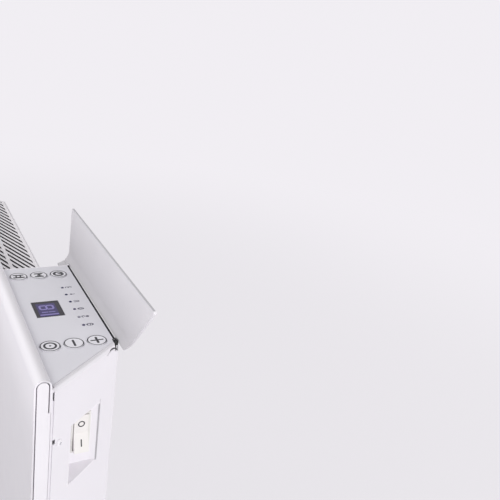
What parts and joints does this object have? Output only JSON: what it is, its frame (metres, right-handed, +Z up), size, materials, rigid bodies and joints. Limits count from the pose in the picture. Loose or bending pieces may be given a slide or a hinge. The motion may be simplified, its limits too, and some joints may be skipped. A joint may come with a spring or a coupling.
{
  "type": "convector panel heater",
  "caption": "Wall-mounted convector panel heater with a flat front panel, top air grille, round control keys and display under a hinged lid, and a side rocker switch.",
  "frame": {"origin": "centre of the wall bracket's back face, on the wall plane, at half the front panel's height and length", "axes": "+Y into the wall (the front panel faces -Y), +X to the end with the control head, +Z up"},
  "size_m": [0.6431, 0.086, 0.4757],
  "materials": {
    "powder_white": "fine satin powder coat",
    "housing_white": "fine satin powder coat",
    "cream_plastic": "satin moulding",
    "fascia_grey": "fine satin moulding",
    "key_white": "satin moulding",
    "window_dark": "polished",
    "lcd_blue": "backlit display",
    "light_blue": "clear tinted",
    "board_green": "solder mask",
    "black_plastic": "matt moulding",
    "white_plastic": "matt moulding",
    "steel": "plated",
    "aluminium": "as extruded",
    "zinc_sheet": "zinc coated sheet",
    "ceramic": "unglazed ceramic",
    "rubber": "matt",
    "wire_grey": "insulated wire",
    "wire_brown": "insulated wire"
  },
  "bodies": {
    "heater": {"front_panel": "powder_white", "end_cap_right": "cream_plastic", "end_cap_left": "cream_plastic", "rear_casing": "housing_white", "top_grille": "powder_white", "bottom_grille": "zinc_sheet", "control_tray": "housing_white", "control_fascia": "fascia_grey", "display_window": "window_dark", "display_module": "lcd_blue", "control_board": "board_green", "light_pipe": "light_blue", "tact_power": "black_plastic", "tact_minus": "black_plastic", "tact_plus": "black_plastic", "tact_program": "black_plastic", "tact_mode": "black_plastic", "tact_timer": "black_plastic", "board_carrier": "white_plastic", "power_board": "board_green", "power_relay": "black_plastic", "heat_sink": "aluminium", "ribbon_cable": "wire_grey", "switch_pocket": "cream_plastic", "rocker_body": "white_plastic", "hinge_lug": "steel", "hinge_rod": "steel", "element_body": "aluminium", "element_sheath": "steel", "element_bracket_left": "zinc_sheet", "element_bracket_right": "zinc_sheet", "element_bush_left": "ceramic", "element_bush_right": "ceramic", "radiation_shield": "aluminium", "thermal_cutout": "zinc_sheet", "room_sensor": "white_plastic", "terminal_block": "white_plastic", "cable_gland": "black_plastic", "earth_screw": "steel", "lead_supply": "wire_brown", "lead_switched": "wire_brown", "lead_element": "wire_grey", "lead_return": "wire_grey", "wall_bracket": "zinc_sheet", "wall_spacer_left": "rubber", "wall_spacer_right": "rubber", "case_screw_right_high": "steel", "case_screw_right_low": "steel", "case_screw_left_high": "steel", "case_screw_left_low": "steel"},
    "lid": {"control_lid": "fascia_grey"},
    "rocker": {"rocker_paddle": "cream_plastic"},
    "power_key": {"button_power": "key_white"},
    "minus_key": {"button_minus": "key_white"},
    "plus_key": {"button_plus": "key_white"},
    "program_key": {"button_program": "key_white"},
    "mode_key": {"button_mode": "key_white"},
    "timer_key": {"button_timer": "key_white"}
  },
  "joints": [
    {"name": "lid_hinge", "type": "hinge", "parent": "heater", "child": "lid", "pos_m": [0.2, -0.0109, 0.205], "axis": [1, 0, 0], "range_deg": [0, 91]},
    {"name": "rocker_pivot", "type": "hinge", "parent": "heater", "child": "rocker", "pos_m": [0.2838, -0.041, 0.136], "axis": [0, 1, 0], "range_deg": [0, 18]},
    {"name": "power_press", "type": "slide", "parent": "heater", "child": "power_key", "axis": [0, 0, -1], "range_m": [0, 0.0008], "stiffness_N_per_m": 300, "springref_m": -0.0005},
    {"name": "minus_press", "type": "slide", "parent": "heater", "child": "minus_key", "axis": [0, 0, -1], "range_m": [0, 0.0008], "stiffness_N_per_m": 300, "springref_m": -0.0005},
    {"name": "plus_press", "type": "slide", "parent": "heater", "child": "plus_key", "axis": [0, 0, -1], "range_m": [0, 0.0008], "stiffness_N_per_m": 300, "springref_m": -0.0005},
    {"name": "program_press", "type": "slide", "parent": "heater", "child": "program_key", "axis": [0, 0, -1], "range_m": [0, 0.0008], "stiffness_N_per_m": 300, "springref_m": -0.0005},
    {"name": "mode_press", "type": "slide", "parent": "heater", "child": "mode_key", "axis": [0, 0, -1], "range_m": [0, 0.0008], "stiffness_N_per_m": 300, "springref_m": -0.0005},
    {"name": "timer_press", "type": "slide", "parent": "heater", "child": "timer_key", "axis": [0, 0, -1], "range_m": [0, 0.0008], "stiffness_N_per_m": 300, "springref_m": -0.0005}
  ]
}
